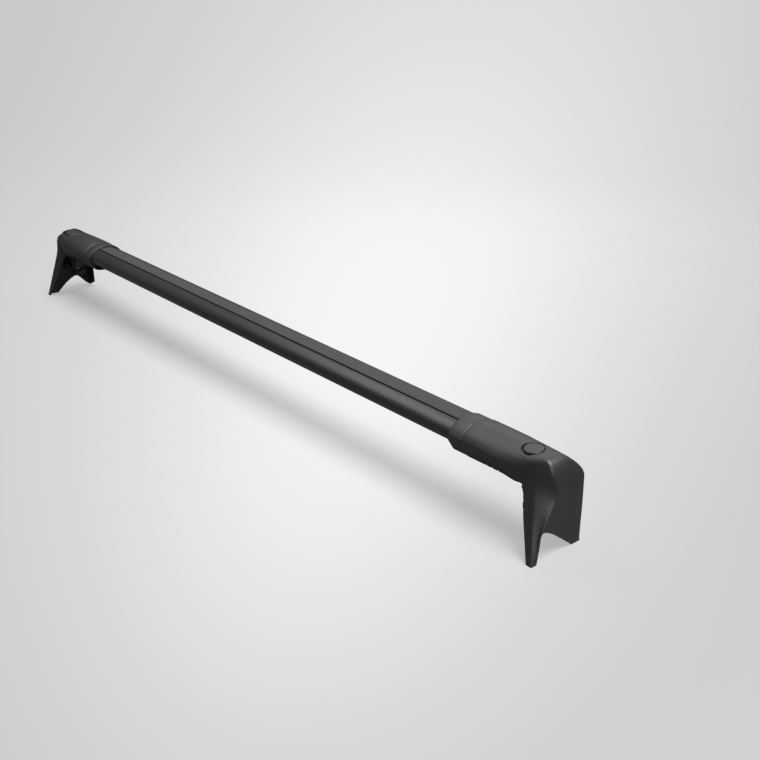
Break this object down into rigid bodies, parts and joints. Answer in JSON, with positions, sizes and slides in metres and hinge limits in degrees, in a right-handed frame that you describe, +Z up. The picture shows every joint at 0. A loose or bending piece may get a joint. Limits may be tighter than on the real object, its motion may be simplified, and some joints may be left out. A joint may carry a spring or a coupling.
{
  "type": "roof rack crossbar",
  "caption": "Black aluminium roof rack bar with a rubber tread strip, moulded end feet with arched legs, hidden screw clamps and hinged round caps.",
  "frame": {"origin": "middle of the part's box on the floor, halfway between the two feet; the bar's own axis lies 4.5 mm behind it, at Y = +4.5 mm", "axes": "+X along the bar to the right foot, +Z up, -Y to the front side, where each foot has its long prong"},
  "size_m": [1.1, 0.081, 0.1138],
  "materials": {
    "bar_aluminium": "satin black anodised extrusion",
    "strip_rubber": "matt, fine speckled tread",
    "cover_plastic": "fine-grained black moulded plastic",
    "seal_rubber": "matt black",
    "bracket_casting": "as cast, tumbled",
    "pad_rubber": "matt black",
    "plated_steel": "zinc plated",
    "black_steel": "black coated",
    "cap_plastic": "smooth satin black"
  },
  "bodies": {
    "frame": {"crossbar": "bar_aluminium", "rubber_strip": "strip_rubber", "foot_cover_r": "cover_plastic", "foot_cover_l": "cover_plastic", "collar_seal_r": "seal_rubber", "collar_seal_l": "seal_rubber", "foot_bracket_r": "bracket_casting", "foot_bracket_l": "bracket_casting", "saddle_pad_r": "pad_rubber", "saddle_pad_l": "pad_rubber", "bar_bolts_r": "plated_steel", "bar_bolts_l": "plated_steel", "cover_screws_r": "black_steel", "cover_screws_l": "black_steel", "screw_washer_r": "plated_steel", "screw_washer_l": "plated_steel", "cap_pin_r": "plated_steel", "cap_pin_l": "plated_steel"},
    "cap_r": {"screw_cap_r": "cap_plastic"},
    "screw_r": {"clamp_screw_r": "plated_steel"},
    "claw_r": {"clamp_claw_r": "black_steel", "claw_pad_r": "pad_rubber"},
    "cap_l": {"screw_cap_l": "cap_plastic"},
    "screw_l": {"clamp_screw_l": "plated_steel"},
    "claw_l": {"clamp_claw_l": "black_steel", "claw_pad_l": "pad_rubber"}
  },
  "joints": [
    {"name": "cap_hinge_r", "type": "hinge", "parent": "frame", "child": "cap_r", "pos_m": [0.51, 0.0121, 0.1107], "axis": [-1, 0, 0], "range_deg": [0, 95]},
    {"name": "screw_turn_r", "type": "hinge", "parent": "frame", "child": "screw_r", "pos_m": [0.51, 0.0005, 0.075], "axis": [0, 0, 1], "range_deg": [0, 2304]},
    {"name": "claw_slide_r", "type": "slide", "parent": "frame", "child": "claw_r", "axis": [0, 0, -1], "range_m": [0, 0.008]},
    {"name": "cap_hinge_l", "type": "hinge", "parent": "frame", "child": "cap_l", "pos_m": [-0.51, 0.0121, 0.1107], "axis": [-1, 0, 0], "range_deg": [0, 95]},
    {"name": "screw_turn_l", "type": "hinge", "parent": "frame", "child": "screw_l", "pos_m": [-0.51, 0.0005, 0.075], "axis": [0, 0, 1], "range_deg": [0, 2304]},
    {"name": "claw_slide_l", "type": "slide", "parent": "frame", "child": "claw_l", "axis": [0, 0, -1], "range_m": [0, 0.008]}
  ],
  "couplings": [
    {"joint": "screw_turn_r", "follows": "claw_slide_r", "rad_per_m": 5026.5},
    {"joint": "screw_turn_l", "follows": "claw_slide_l", "rad_per_m": 5026.5}
  ]
}
